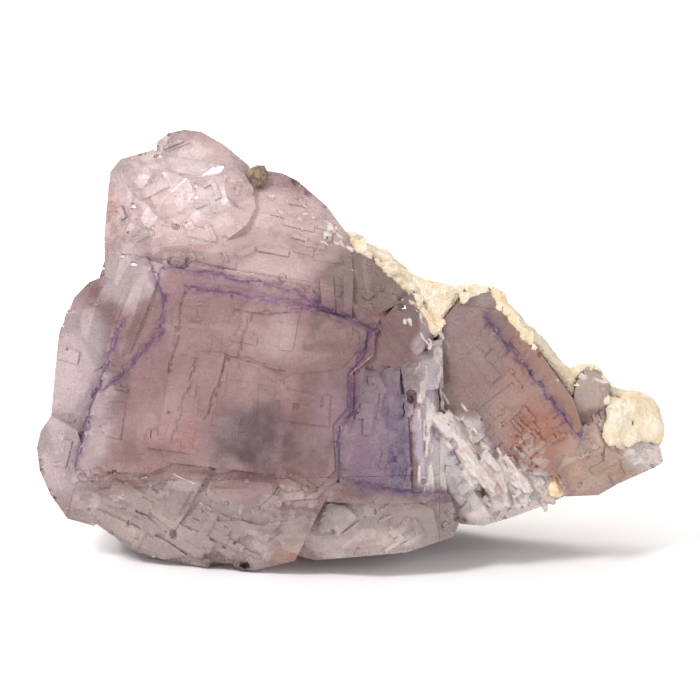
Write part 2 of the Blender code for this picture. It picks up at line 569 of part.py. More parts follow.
def room_for(source_name):
    """A convex crystal with each of its faces moved out, so that what it cuts keeps clear of it."""
    source = bpy.data.objects[source_name]
    shape = bmesh.new()
    bmesh.ops.create_cube(shape, size=LARGEST_BLOCK)
    for side in source.data.polygons:
        if side.area > LEAST_FACE:
            cleave(shape, (side.center + side.normal * CONTACT_GAP, side.normal))
    bmesh.ops.recalc_face_normals(shape, faces=shape.faces)
    return helper(source_name + "_room", shape)


def fit_round(target, crystal_names):
    """Cuts a piece back so that it lies against these crystals, with the gap that separate pieces keep."""
    combine(target, [room_for(name) for name in crystal_names], "DIFFERENCE")
    keep_largest(target)


def cut_flat_base(target):
    """Takes off what lies below the ground, as the break that the specimen stands on."""
    down = Vector((0.0, math.sin(LEAN), -math.cos(LEAN)))
    across = LARGEST_BLOCK
    shape = bmesh.new()
    bmesh.ops.create_cube(shape, size=across)
    turn = down.to_track_quat("Z", "Y").to_matrix().to_4x4()
    ground = Matrix.Translation(Vector((0.0, BASE_DEPTH, 0.0)) + down * across / 2) @ turn
    bmesh.ops.transform(shape, matrix=ground, verts=shape.verts)
    combine(target, [helper(target.name + "_ground", shape)], "DIFFERENCE")


def keep_largest(target):
    """Drops the crumbs that a cut leaves loose."""
    shape = bmesh.new()
    shape.from_mesh(target.data)
    left = set(shape.verts)
    islands = []
    while left:
        reached = {left.pop()}
        waiting = list(reached)
        while waiting:
            for edge in waiting.pop().link_edges:
                for vert in edge.verts:
                    if vert not in reached:
                        reached.add(vert)
                        waiting.append(vert)
        left -= reached
        islands.append(reached)
    islands.sort(key=len)
    crumbs = [vert for island in islands[:-1] for vert in island]
    bmesh.ops.delete(shape, geom=crumbs, context="VERTS")
    shape.to_mesh(target.data)
    shape.free()


def broken_back():
    """Plates and scars on the rear of the crystals."""
    upper = face_through((-22.0, 36.0, 45.0), (0.1, 1.0, 0.45))
    lower = face_through((-10.0, 40.0, 14.0), (-0.2, 1.0, -0.25))
    side = face_through((-34.0, 31.0, 40.0), (-0.75, 1.0, 0.2))
    return [
        dish("rear_scar_1", upper, -20.0, 44.0, 16.0, 1.8),
        dish("rear_scar_2", upper, -27.0, 36.0, 12.0, 1.4),
        dish("rear_scar_3", lower, -16.0, 22.0, 14.0, 1.6),
        dish("rear_scar_4", lower, -26.0, 14.0, 11.0, 1.5),
        dish("rear_scar_5", upper, -10.0, 34.0, 13.0, 1.5),
        dish("rear_scar_6", side, -36.0, 28.0, 12.0, 1.5),
        dish("rear_scar_7", side, -34.0, 47.0, 12.0, 1.5),
    ]


def piece_from(name, source):
    """A shown piece that starts as a copy of a construction shape."""
    made = bpy.data.objects.new(name, source.data.copy())
    bpy.data.collections["fluorite_specimen"].objects.link(made)
    return made


def painted(target, colour, roughness):
    """Gives a piece its own material."""
    finish = bpy.data.materials.new(target.name)
    finish.use_nodes = True
    shader = finish.node_tree.nodes["Principled BSDF"]
    shader.inputs["Base Color"].default_value = (*colour, 1.0)
    shader.inputs["Roughness"].default_value = roughness
    shader.inputs["Metallic"].default_value = 0.0
    target.data.materials.clear()
    target.data.materials.append(finish)


def make_fluorite(crystals):
    mass = piece_from("fluorite", crystals[0])
    combine(mass, crystals[1:], "UNION")
    combine(mass, scars() + broken_back(), "DIFFERENCE")
    cut_flat_base(mass)
    keep_largest(mass)
    painted(mass, (0.40, 0.29, 0.31), 0.25)
    return mass


def make_rock():
    lumps = rock_lumps()
    rock = piece_from("matrix_rock", lumps[0])
    combine(rock, lumps[1:], "UNION")
    grain = rock.modifiers.new("grain", "REMESH")
    grain.mode = "VOXEL"
    grain.voxel_size = ROCK_GRAIN
    settle(rock)
    rock.data.update()
    rises = [
        ROCK_SWELL * noise.noise(vert.co / ROCK_SWELL_ACROSS)
        + ROCK_ROUGHNESS * noise.noise(vert.co / ROCK_LUMPS_ACROSS)
        for vert in rock.data.vertices
    ]
    for vert, rise in zip(rock.data.vertices, rises):
        # The swell fades towards the front, where the rock's outline shows
        vert.co += vert.normal * rise * min(1.0, vert.co.y / BACK_OF_VIEW)
    fewer = rock.modifiers.new("fewer", "DECIMATE")
    fewer.ratio = ROCK_FACES_KEPT
    settle(rock)
    fit_round(rock, ROCK_NEIGHBOURS)
    cut_flat_base(rock)
    painted(rock, (0.78, 0.62, 0.44), 0.9)
    return rock


def make_chip():
    corners = [
        (30.2, 8.4, 15.5), (31.3, 8.8, 14.0), (32.4, 9.6, 11.1), (31.0, 9.2, 10.8), (29.8, 8.6, 11.8),
        (29.6, 8.8, 13.4), (30.2, 14.0, 15.0), (32.0, 14.0, 11.4), (29.8, 14.0, 11.6),
    ]
    chip = piece_from("calcite_chip", helper("chip_blank", convex_shape(corners)))
    fit_round(chip, CHIP_NEIGHBOURS)
    painted(chip, (0.86, 0.56, 0.36), 0.6)
    return chip


def make_grain():
    shape = bmesh.new()
    bmesh.ops.create_icosphere(shape, subdivisions=2, radius=GRAIN_RADIUS)
    for vert in shape.verts:
        vert.co *= 1.0 + GRAIN_ROUGHNESS * noise.noise(vert.co / GRAIN_LUMPS_ACROSS)
    bmesh.ops.translate(shape, verts=shape.verts, vec=GRAIN_MIDDLE)
    grain = piece_from("ironstone_grain", helper("grain_blank", shape))
    fit_round(grain, GRAIN_NEIGHBOURS)
    painted(grain, (0.24, 0.16, 0.10), 0.85)
    return grain


def stand(pieces):
    """Leans the pieces back, puts the base on the ground and centres them over the origin, in metres."""
    lean = Matrix.Rotation(-LEAN, 4, "X") @ Matrix.Translation((0.0, -BASE_DEPTH, 0.0))
    for piece in pieces:
        piece.data.transform(Matrix.Scale(TO_METRES, 4) @ lean)
    corners = [v.co for piece in pieces for v in piece.data.vertices]
    middle_x = (min(c.x for c in corners) + max(c.x for c in corners)) / 2
    middle_y = (min(c.y for c in corners) + max(c.y for c in corners)) / 2
    for piece in pieces:
        piece.data.transform(Matrix.Translation((-middle_x, -middle_y, 0.0)))


def main():
    clear_scene()
    new_collection("fluorite_specimen")
    new_collection("helpers", shown=False)
    groups = [
        big_cube(),
        left_flank(),
        crest(),
        shoulder(),
        rear_mass(),
        blades(),
        stepped_side(),
        underside(),
        second_cube(),
        right_end(),
        lower_right(),
        bottom_block(),
    ]
    crystals = [made for group in groups for made in group]
    mass = make_fluorite(crystals)
    rock = make_rock()
    chip = make_chip()
    grain = make_grain()
    stand([mass, rock, chip, grain])


main()
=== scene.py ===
import math
import random

import bmesh
import bpy
from mathutils import Matrix, Vector, noise


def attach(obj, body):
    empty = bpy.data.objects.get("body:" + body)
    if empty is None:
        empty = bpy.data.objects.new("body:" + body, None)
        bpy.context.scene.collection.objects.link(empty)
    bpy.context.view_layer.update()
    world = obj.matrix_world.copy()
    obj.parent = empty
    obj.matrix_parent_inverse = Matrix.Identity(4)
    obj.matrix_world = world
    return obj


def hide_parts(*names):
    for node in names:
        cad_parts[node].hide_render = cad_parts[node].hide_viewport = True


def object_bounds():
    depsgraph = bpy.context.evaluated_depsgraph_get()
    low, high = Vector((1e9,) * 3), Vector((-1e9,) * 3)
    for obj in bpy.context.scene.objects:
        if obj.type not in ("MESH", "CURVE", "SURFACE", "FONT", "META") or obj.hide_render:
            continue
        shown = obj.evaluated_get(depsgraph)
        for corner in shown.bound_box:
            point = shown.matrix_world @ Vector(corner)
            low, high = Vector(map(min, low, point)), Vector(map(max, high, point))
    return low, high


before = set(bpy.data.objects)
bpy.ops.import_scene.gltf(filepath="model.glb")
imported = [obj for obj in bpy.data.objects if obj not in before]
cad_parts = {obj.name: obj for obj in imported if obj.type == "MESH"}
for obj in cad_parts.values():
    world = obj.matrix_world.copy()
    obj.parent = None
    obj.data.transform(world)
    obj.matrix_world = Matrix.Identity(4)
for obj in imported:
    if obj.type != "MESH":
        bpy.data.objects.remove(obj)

cad_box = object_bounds()


# Fluorite: one mass of cubes grown into each other, cleaved and frosted, violet along the growth layers.
# The real piece was broken out of its vein, so most of its faces are cleavage faces or shell-shaped breaks.
# It stands leaning back, and its own patterns are laid out in millimetres over the upright display face.
LEAN = math.radians(15.0)
DISPLAY_ORIGIN = (0.2, 28.46, 3.339)
MILLIMETRE = 0.001
PER_METRE = 1000.0
WELD = 0.00001
FLAT = math.radians(0.3)
FLUORITE_IOR = 1.434


def work_on(piece):
    """Selects one piece alone, so that the next operators act on it."""
    bpy.ops.object.select_all(action="DESELECT")
    piece.select_set(True)
    bpy.context.view_layer.objects.active = piece


def welded_copy(name, node):
    """A piece that starts as its solid, with the solid's loose triangles welded into flat faces."""
    piece = bpy.data.objects.new(name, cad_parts[node].data.copy())
    bpy.context.scene.collection.objects.link(piece)
    piece.data.materials.clear()
    work_on(piece)
    bpy.ops.object.mode_set(mode="EDIT")
    bpy.ops.mesh.select_all(action="SELECT")
    bpy.ops.mesh.remove_doubles(threshold=WELD)
    bpy.ops.mesh.dissolve_limited(angle_limit=FLAT)
    bpy.ops.object.mode_set(mode="OBJECT")
    return piece


def put(tree, kind, sockets=None, **settings):
    """Adds a node. Each socket named gets a value, or the output that feeds it."""
    made = tree.nodes.new(kind)
    for setting, value in settings.items():
        setattr(made, setting, value)
    for socket, value in (sockets or {}).items():
        if isinstance(value, bpy.types.NodeSocket):
            tree.links.new(value, made.inputs[socket])
        else:
            made.inputs[socket].default_value = value
    return made


def sum_of(tree, operation, first, second=0.0, third=0.0):
    """One step of arithmetic between numbers."""
    return put(tree, "ShaderNodeMath", {0: first, 1: second, 2: third}, operation=operation).outputs[0]


def step_of(tree, operation, first, second=(0.0, 0.0, 0.0), result="Vector"):
    """One step of arithmetic between vectors."""
    return put(tree, "ShaderNodeVectorMath", {0: first, 1: second}, operation=operation).outputs[result]


def stretched(tree, value, scale, shift):
    """A vector scaled along each axis, then shifted."""
    sockets = {0: value, 1: scale, 2: shift}
    return put(tree, "ShaderNodeVectorMath", sockets, operation="MULTIPLY_ADD").outputs[0]


def ramp_of(tree, value, low, high, start=0.0, end=1.0):
    """Eases from start to end as the value goes from low to high."""
    sockets = {"Value": value, "From Min": low, "From Max": high, "To Min": start, "To Max": end}
    return put(tree, "ShaderNodeMapRange", sockets, interpolation_type="SMOOTHSTEP").outputs["Result"]


def blend_of(tree, factor, first, second):
    """Mixes two colours."""
    mixed = put(tree, "ShaderNodeMix", data_type="RGBA")
    for socket, value in (("Factor_Float", factor), ("A_Color", first), ("B_Color", second)):
        target = next(item for item in mixed.inputs if item.identifier == socket)
        if isinstance(value, bpy.types.NodeSocket):
            tree.links.new(value, target)
        elif socket == "Factor_Float":
            target.default_value = value
        else:
            target.default_value = (*value, 1.0)
    return next(item for item in mixed.outputs if item.identifier == "Result_Color")


def new_group(name, inputs, outputs):
    """A shader group with named inputs and outputs, and its two end nodes."""
    group = bpy.data.node_groups.new(name, "ShaderNodeTree")
    for label, kind, value in inputs:
        socket = group.interface.new_socket(label, in_out="INPUT", socket_type=kind)
        socket.default_value = value
    for label, kind in outputs:
        group.interface.new_socket(label, in_out="OUTPUT", socket_type=kind)
    given = group.nodes.new("NodeGroupInput")
    return group, given.outputs, group.nodes.new("NodeGroupOutput").inputs


def use(tree, group, sockets):
    """Places a group with its own values."""
    return put(tree, "ShaderNodeGroup", sockets, node_tree=group).outputs


def display_position(tree):
    """Where a point lies over the display face, in millimetres: x right, y away, z up."""
    place = put(tree, "ShaderNodeTexCoord").outputs["Object"]
    sockets = {
        "Vector": place, "Location": DISPLAY_ORIGIN, "Rotation": (LEAN, 0.0, 0.0), "Scale": (PER_METRE,) * 3,
    }
    return put(tree, "ShaderNodeMapping", sockets).outputs["Vector"]


def clouds_of(tree, place, scale, detail, roughness=0.5):
    """Soft random clouds: their strength is Fac, and Color holds three of them."""
    sockets = {"Vector": place, "Scale": scale, "Detail": detail, "Roughness": roughness}
    return put(tree, "ShaderNodeTexNoise", sockets).outputs


def new_finish(name):
    """A material, with its tree, its shader and the place that its patterns are laid out by."""
    finish = bpy.data.materials.new(name)
    finish.use_nodes = True
    tree = finish.node_tree
    return finish, tree, tree.nodes["Principled BSDF"], display_position(tree)


def dress(tree, shader, colour, roughness, height, strength):
    """Gives a shader its colour, its roughness and its relief, whose height is in millimetres."""
    sockets = {"Height": height, "Distance": MILLIMETRE, "Strength": strength}
    bump = put(tree, "ShaderNodeBump", sockets).outputs["Normal"]
    for socket, output in (("Base Color", colour), ("Roughness", roughness), ("Normal", bump)):
        tree.links.new(output, shader.inputs[socket])


FLOAT, VECTOR = "NodeSocketFloat", "NodeSocketVector"
ZERO, ONE, ALONG = (0, 0, 0), (1, 1, 1), (1, 0, 0)

# A soft-edged ball of colour in the crystal: Spread is one over its size, Shift puts its centre at nought
soft_zone, given, gives = new_group(
    "soft_zone",
    [
        ("Position", VECTOR, ZERO), ("Spread", VECTOR, ONE), ("Shift", VECTOR, ZERO),
        ("Core", FLOAT, 0.5), ("Strength", FLOAT, 1.0),
    ],
    [("Mask", FLOAT)],
)
scaled = stretched(soft_zone, given["Position"], given["Spread"], given["Shift"])
reach = step_of(soft_zone, "LENGTH", scaled, result="Value")
soft_zone.links.new(ramp_of(soft_zone, reach, 1.0, given["Core"], 0.0, given["Strength"]), gives["Mask"])


def zone_mask(tree, position, centre, size, softness, strength):
    """How much of a colour zone there is at a point."""
    spread = Vector([1.0 / across for across in size])
    sockets = {
        "Position": position, "Spread": spread, "Shift": -Vector(centre) * spread,
        "Core": 1.0 - softness, "Strength": strength,
    }
    return use(tree, soft_zone, sockets)["Mask"]


# The distance to a straight edge, seen over the display face
edge_distance, given, gives = new_group(
    "edge_distance",
    [("Position", VECTOR, ZERO), ("Start", VECTOR, ZERO), ("Run", VECTOR, ALONG), ("Pace", VECTOR, ALONG)],
    [("Distance", FLOAT)],
)
away = step_of(edge_distance, "SUBTRACT", given["Position"], given["Start"])
share = step_of(edge_distance, "DOT_PRODUCT", away, given["Pace"], result="Value")
share = put(edge_distance, "ShaderNodeClamp", {"Value": share}).outputs[0]
nearest = put(
    edge_distance, "ShaderNodeVectorMath", {0: given["Run"], "Scale": share}, operation="SCALE"
).outputs[0]
apart = step_of(edge_distance, "DISTANCE", away, nearest, result="Value")
edge_distance.links.new(apart, gives["Distance"])

# Cleavage steps: square-cornered flakes along a crystal's own directions
cleavage, given, gives = new_group(
    "cleavage",
    [("Position", VECTOR, ZERO), ("Turn", VECTOR, ZERO), ("Size", FLOAT, 3.0), ("Length", FLOAT, 2.0)],
    [("Height", FLOAT), ("Jog", VECTOR)],
)
turned = put(
    cleavage, "ShaderNodeVectorRotate", {"Vector": given["Position"], "Rotation": given["Turn"]},
    rotation_type="EULER_XYZ",
).outputs[0]
shape = put(cleavage, "ShaderNodeCombineXYZ", {0: given["Length"], 1: 1.0, 2: 1.0}).outputs[0]
turned = step_of(cleavage, "DIVIDE", turned, shape)
density = sum_of(cleavage, "DIVIDE", 1.0, given["Size"])
flakes = put(
    cleavage, "ShaderNodeTexVoronoi", {"Vector": turned, "Scale": density, "Randomness": 0.85},
    distance="CHEBYCHEV", feature="F1",
).outputs
cleavage.links.new(put(cleavage, "ShaderNodeSeparateColor", {0: flakes["Color"]}).outputs[0], gives["Height"])
cleavage.links.new(step_of(cleavage, "SUBTRACT", flakes["Color"], (0.5, 0.5, 0.5)), gives["Jog"])

fluorite = welded_copy("fluorite_crystals", "fluorite")

# The display face in millimetres, and back to the specimen as it stands
TO_DISPLAY = Matrix.Translation(DISPLAY_ORIGIN) @ Matrix.Rotation(LEAN, 4, "X") @ Matrix.Scale(PER_METRE, 4)
TO_SPECIMEN = TO_DISPLAY.inverted()
chance = random.Random(5)

# Lines of sight start this far in front of the display face, in millimetres
IN_FRONT = -40.0


def surface_from(start, direction):
    """Where a line from a point first meets the fluorite: the point met and the way it faces."""
    ahead = (TO_SPECIMEN.to_3x3() @ Vector(direction)).normalized()
    hit, point, normal, index = fluorite.ray_cast(TO_SPECIMEN @ Vector(start), ahead)
    if not hit:
        return None
    return TO_DISPLAY @ point, (TO_DISPLAY.to_3x3() @ normal).normalized()


def surface_at(x, z):
    """The fluorite's surface seen at x, z over the display face: its point and the way it faces."""
    return surface_from((x, IN_FRONT, z), (0.0, 1.0, 0.0))


# Ledges are a little out of square, and sit only where the surface looks forward and is flat enough.
# Their unevenness and the depth of their roots are in millimetres.
OUT_OF_SQUARE = 0.08
LEAST_FORWARD = -0.3
MOST_UNEVEN = 0.45
ROOT = 0.6


def ledge_outline(x, z, degrees, length, width):
    """A plate's outline over the display face: straight below and stepped above, as cleavage leaves it."""
    angle = math.radians(degrees)
    along = Vector((math.cos(angle), math.sin(angle)))
    across = Vector((-math.sin(angle + OUT_OF_SQUARE), math.cos(angle + OUT_OF_SQUARE)))
    stops = sorted(chance.uniform(0.1, 0.9) for step in range(chance.randint(2, 4)))
    heights = [chance.uniform(0.35, 1.0) for step in range(len(stops) + 1)]
    corners = [(0.0, 0.0), (1.0, 0.0)]
    for right, left, height in zip([1.0] + stops[::-1], stops[::-1] + [0.0], heights):
        corners += [(right, height), (left, height)]
    middle = Vector((x, z)) - along * length / 2 - across * width / 2
    return [middle + along * length * a + across * width * b for a, b in corners]


def add_plate(shape, outline, normal, proud):
    """Adds a plate that stands proud of the crystal and is rooted in it."""
    top = [shape.verts.new(corner + normal * proud) for corner in outline]
    root = [shape.verts.new(corner - normal * ROOT) for corner in outline]
    shape.faces.new(top)
    shape.faces.new(root[::-1])
    for first, second in zip(range(len(top)), [*range(1, len(top)), 0]):
        shape.faces.new((top[first], root[first], root[second], top[second]))


def add_ledge(shape, x, z, degrees, length, width, proud):
    """Adds one cleavage ledge where the crystal is flat enough to carry it."""
    found = surface_at(x, z)
    if not found or found[1].y > LEAST_FORWARD:
        return
    point, normal = found
    outline = []
    for corner_x, corner_z in ledge_outline(x, z, degrees, length, width):
        y = point.y - (normal.x * (corner_x - point.x) + normal.z * (corner_z - point.z)) / normal.y
        carried = surface_at(corner_x, corner_z)
        if not carried or abs(carried[0].y - y) > MOST_UNEVEN:
            return
        outline.append(Vector((corner_x, y, corner_z)))
    add_plate(shape, outline, normal, proud)


def piece_from(name, shape):
    """A piece made from a shape drawn over the display face, leant back as the specimen stands."""
    bmesh.ops.recalc_face_normals(shape, faces=shape.faces)
    bmesh.ops.transform(shape, matrix=TO_SPECIMEN, verts=shape.verts)
    mesh = bpy.data.meshes.new(name)
    shape.to_mesh(mesh)
    shape.free()
    made = bpy.data.objects.new(name, mesh)
    bpy.context.scene.collection.objects.link(made)
    return made


def carve(piece, shape, operation):
    """Joins a shape to a piece or cuts it out, and takes the shape away."""
    tool = piece_from("carving_shape", shape)
    step = piece.modifiers.new("carving", "BOOLEAN")
    step.operation = operation
    step.object = tool
    step.solver = "EXACT"
    step.use_self = True
    work_on(piece)
    bpy.ops.object.modifier_apply(modifier="carving")
    bpy.data.objects.remove(tool)


# The sharp edges that the crystal has before the ledges are added
SHARP = math.radians(24.0)
SHORTEST_EDGE = 0.0008
crystal_edges = bmesh.new()
crystal_edges.from_mesh(fluorite.data)
sharp = [
    (TO_DISPLAY @ edge.verts[0].co, TO_DISPLAY @ edge.verts[1].co)
    for edge in crystal_edges.edges
    if edge.is_manifold and edge.is_convex and edge.calc_face_angle() > SHARP
    and edge.calc_length() > SHORTEST_EDGE
]
crystal_edges.free()

LEDGE_FIELDS = [
    # left, right, low, high, direction, how many, longest, height of a step
    (-39.0, 0.0, 15.5, 42.0, -9.0, 34, 9.0, 0.2),
    (-45.0, -34.0, 10.0, 42.0, -14.0, 26, 5.0, 0.3),
    (-39.0, -6.0, 1.5, 14.0, -28.0, 60, 7.0, 0.4),
    (-6.0, 15.0, 2.5, 11.0, 33.0, 30, 5.0, 0.35),
    (-28.0, 2.0, 44.0, 58.0, -12.0, 34, 6.0, 0.35),
    (14.0, 34.0, 15.0, 42.0, -50.0, 30, 7.0, 0.2),
    (13.0, 31.0, 8.0, 24.0, -48.0, 40, 4.0, 0.55),
    (30.0, 46.0, 12.0, 25.0, 28.0, 20, 5.0, 0.3),
    (-36.0, -15.0, 46.0, 65.0, 24.0, 50, 5.0, 0.5),
    (-1.0, 14.0, 12.0, 44.0, 84.0, 34, 5.0, 0.3),
]
ledge_shapes = bmesh.new()
for left, right, low, high, degrees, count, longest, proud in LEDGE_FIELDS:
    for ledge in range(count):
        length = chance.uniform(0.35, 1.0) * longest
        add_ledge(
            ledge_shapes, chance.uniform(left, right), chance.uniform(low, high),
            degrees + chance.choice((0.0, 0.0, 90.0)) + chance.gauss(0.0, 1.5),
            length, length * chance.uniform(0.3, 0.7), proud * chance.uniform(0.4, 1.3),
        )

# The long ledges with zigzag fronts across the lower break
LONG_LEDGE_HEIGHT = 0.4
LONG_LEDGES = [
    [
        (-38.0, 12.2), (-34.6, 10.6), (-34.2, 11.4), (-31.4, 8.9), (-30.9, 9.7), (-26.4, 6.0), (-21.8, 13.0),
        (-30.0, 13.4),
    ],
    [(-20.9, 12.6), (-18.6, 10.4), (-18.1, 11.1), (-16.4, 8.7), (-15.7, 9.7), (-13.8, 8.4), (-11.2, 12.8)],
    [(-33.0, 7.6), (-29.6, 5.2), (-28.9, 6.0), (-24.8, 2.9), (-22.6, 5.4), (-26.6, 5.2), (-30.8, 8.6)],
    [(-19.4, 7.6), (-16.0, 5.0), (-15.3, 5.9), (-12.6, 4.4), (-10.2, 7.6), (-13.4, 7.0), (-16.4, 7.8)],
]
for outline in LONG_LEDGES:
    found = [surface_at(x, z) for x, z in outline]
    facing = sum((normal for point, normal in found), Vector()).normalized()
    add_plate(ledge_shapes, [point for point, normal in found], facing, LONG_LEDGE_HEIGHT)
carve(fluorite, ledge_shapes, "UNION")

# Chips along the crystal's own sharp edges, where it has been knocked, but none on the big face.
# Each is cut from a little in front of the edge.
CHIPS_TRIED = 400
CHIP_SHIFT = -0.25
FACE_LEFT, FACE_RIGHT = -37.0, 1.0
FACE_LOW, FACE_HIGH = 15.0, 42.0
FACE_DEPTH = 15.0
lengths = [(end - start).length for start, end in sharp]
chip_shapes = bmesh.new()
for start, end in chance.choices(sharp, weights=lengths, k=CHIPS_TRIED):
    size = chance.uniform(0.3, 0.95)
    spot = start.lerp(end, chance.random())
    if FACE_LEFT < spot.x < FACE_RIGHT and FACE_LOW < spot.z < FACE_HIGH and spot.y < FACE_DEPTH:
        continue
    chip_verts = bmesh.ops.create_icosphere(chip_shapes, subdivisions=1, radius=size)["verts"]
    stretch = [chance.uniform(0.6, 1.5) for axis in range(3)]
    bmesh.ops.scale(chip_shapes, verts=chip_verts, vec=stretch)
    bmesh.ops.translate(chip_shapes, verts=chip_verts, vec=spot + Vector((0.0, CHIP_SHIFT * size, 0.0)))
carve(fluorite, chip_shapes, "DIFFERENCE")

finish, tree, glass, place = new_finish("fluorite_violet")

# The colour borders wander, as growth zones do
cloud = clouds_of(tree, place, 0.16, 3.0, 0.6)
drift = step_of(tree, "SUBTRACT", cloud["Color"], (0.5, 0.5, 0.5))
zoned = stretched(tree, drift, (7.0, 7.0, 7.0), place)

BODY_COLOUR = (0.32, 0.194, 0.192)
# The crystal's own colour zones, with two patches of painted shade among them
COLOUR_AND_SHADE_ZONES = [
    # centre, size, softness, colour, strength
    ((-43.0, 16.0, 26.0), (9.5, 22.0, 18.0), 0.35, (0.58, 0.46, 0.48), 0.9),
    ((-33.0, 14.0, 44.0), (6.0, 14.0, 6.0), 0.5, (0.68, 0.56, 0.57), 0.9),
    ((-26.0, 20.0, 5.0), (19.0, 24.0, 11.0), 0.3, (0.48, 0.385, 0.37), 0.9),
    ((-12.0, 12.0, 50.0), (15.0, 26.0, 8.5), 0.4, (0.68, 0.52, 0.50), 0.9),
    ((-27.0, 18.0, 57.0), (19.0, 26.0, 14.0), 0.75, (0.76, 0.615, 0.61), 1.0),
    ((-37.5, 16.0, 52.0), (3.2, 20.0, 9.0), 0.6, (0.78, 0.50, 0.46), 0.85),
    ((3.0, 12.0, 43.0), (9.0, 18.0, 5.0), 0.4, (0.34, 0.25, 0.23), 0.9),
    ((-11.0, 6.0, 35.0), (6.0, 9.0, 4.5), 0.9, (0.52, 0.40, 0.40), 0.8),
    ((-26.0, 6.0, 20.5), (7.0, 9.0, 5.5), 0.9, (0.44, 0.22, 0.19), 0.75),
    ((-3.0, 6.0, 23.0), (4.5, 8.0, 7.5), 0.8, (0.44, 0.30, 0.36), 0.7),
    # painted shade: a near-black patch standing for the shade inside the crystal, left of the middle of the
    # big face
    ((-14.5, 8.0, 20.0), (9.5, 12.0, 8.5), 0.65, (0.085, 0.055, 0.065), 0.95),
    # painted shade: a dark patch standing for the shade inside the crystal, low in the middle of the big face
    ((-4.0, 6.0, 17.0), (5.0, 10.0, 4.5), 0.8, (0.24, 0.16, 0.17), 0.7),
    ((2.5, 6.0, 20.0), (4.8, 8.0, 12.0), 0.4, (0.27, 0.15, 0.23), 0.9),
    ((6.9, 7.0, 20.0), (1.9, 8.0, 12.0), 0.5, (0.18, 0.10, 0.21), 0.85),
    ((10.8, 10.0, 21.0), (2.7, 8.0, 12.5), 0.4, (0.78, 0.64, 0.74), 0.9),
    ((12.0, 8.0, 33.5), (3.4, 8.0, 5.5), 0.5, (0.70, 0.58, 0.62), 0.85),
    ((5.0, 14.0, 5.5), (14.0, 20.0, 7.5), 0.35, (0.58, 0.47, 0.45), 0.9),
    ((7.0, 12.0, 4.0), (4.5, 14.0, 3.0), 0.7, (0.74, 0.66, 0.63), 0.8),
    ((19.0, 14.0, 30.0), (8.0, 16.0, 14.0), 0.5, (0.44, 0.29, 0.265), 0.85),
    ((28.8, 14.0, 27.0), (7.6, 16.0, 15.5), 0.2, (0.55, 0.31, 0.25), 0.9),
    ((28.5, 14.0, 21.0), (7.0, 16.0, 7.0), 0.8, (0.56, 0.22, 0.14), 0.85),
    ((17.0, 12.0, 17.0), (5.8, 14.0, 8.0), 0.3, (0.93, 0.84, 0.82), 0.95),
    ((24.0, 13.0, 11.0), (9.5, 14.0, 5.5), 0.3, (0.93, 0.84, 0.81), 0.95),
    ((38.0, 16.0, 16.0), (9.0, 18.0, 7.5), 0.4, (0.70, 0.43, 0.32), 0.9),
    ((36.3, 20.0, 26.8), (4.0, 22.0, 4.8), 0.4, (0.74, 0.58, 0.50), 0.95),
    ((45.0, 18.0, 17.5), (5.0, 20.0, 3.6), 0.5, (0.88, 0.82, 0.76), 0.95),
    ((20.5, 12.0, 41.5), (4.0, 8.0, 3.0), 0.6, (0.50, 0.40, 0.37), 0.8),
    ((-18.5, 14.0, 0.6), (5.0, 20.0, 1.8), 0.4, (0.13, 0.08, 0.06), 0.9),
    ((-9.5, 14.0, 2.8), (3.4, 20.0, 2.8), 0.7, (0.52, 0.30, 0.20), 0.75),
]
colour = BODY_COLOUR
for centre, size, softness, zone_colour, strength in COLOUR_AND_SHADE_ZONES:
    colour = blend_of(tree, zone_mask(tree, zoned, centre, size, softness, strength), colour, zone_colour)

# Which way each crystal cleaves: the big cube's way, then each neighbour's past its border
CRYSTAL_BORDERS = [
    # a point of the border, the way across it, how the crystal beyond it is turned
    ((-10.0, 0.0, 14.0), (0.02, 0.0, -1.0), (34.0, 28.0, -10.0)),
    ((13.4, 0.0, 30.0), (1.0, 0.0, 0.0), (10.0, 50.0, -13.0)),
    ((-34.0, 0.0, 37.0), (-1.0, 0.0, 0.3), (0.0, -12.0, -37.0)),
    ((-20.0, 0.0, 45.5), (0.15, 0.0, 1.0), (-16.0, 20.0, 20.0)),
]
turn = [math.radians(angle) for angle in (0.0, -9.0, -14.0)]
for point, direction, angles in CRYSTAL_BORDERS:
    away = step_of(tree, "SUBTRACT", place, point)
    ahead = step_of(tree, "DOT_PRODUCT", away, direction, result="Value")
    beyond = ramp_of(tree, ahead, -0.05, 0.05)
    turn = blend_of(tree, beyond, turn, [math.radians(angle) for angle in angles])

small_flakes = use(tree, cleavage, {"Position": place, "Turn": turn, "Size": 1.1, "Length": 1.6})
large_flakes = use(tree, cleavage, {"Position": place, "Turn": turn, "Size": 4.2, "Length": 2.0})

# Growth layers outlined in violet, as the runs of their edges over the display face
VIOLET_EDGES = [
    [(-30.3, 47.0), (-27.9, 41.0), (-28.3, 36.0), (-34.0, 29.5), (-37.3, 27.0)],
    [(-34.3, 37.3), (-39.0, 24.6), (-41.3, 15.4)],
    [(-28.0, 45.7), (-10.0, 42.6), (3.5, 36.0)],
    [(-24.5, 42.7), (-7.0, 40.0), (0.0, 37.5)],
    [(3.5, 36.0), (0.3, 29.8), (0.3, 24.0), (-1.8, 21.0), (-1.2, 13.8), (14.3, 11.2)],
    [(20.3, 38.0), (34.5, 20.0)],
    [(5.0, 30.0), (6.6, 13.0)],
    [(7.5, 30.0), (8.5, 12.5)],
    [(13.0, 22.0), (16.4, 16.2)],
    [(13.6, 36.8), (11.2, 33.2)],
]
FINE_EDGES = [
    [(-24.5, 42.7), (-27.0, 30.0)],
    [(-8.0, 39.0), (-15.0, 38.5), (-17.0, 30.5)],
    [(-10.0, 30.0), (-18.3, 32.6), (-21.5, 23.0)],
    [(-23.0, 32.0), (-26.5, 20.0)],
]
flat_place = step_of(tree, "MULTIPLY", place, (1.0, 0.0, 1.0))
ragged = clouds_of(tree, place, 0.9, 2.0, 0.65)
shake = step_of(tree, "SUBTRACT", ragged["Color"], (0.5, 0.5, 0.5))
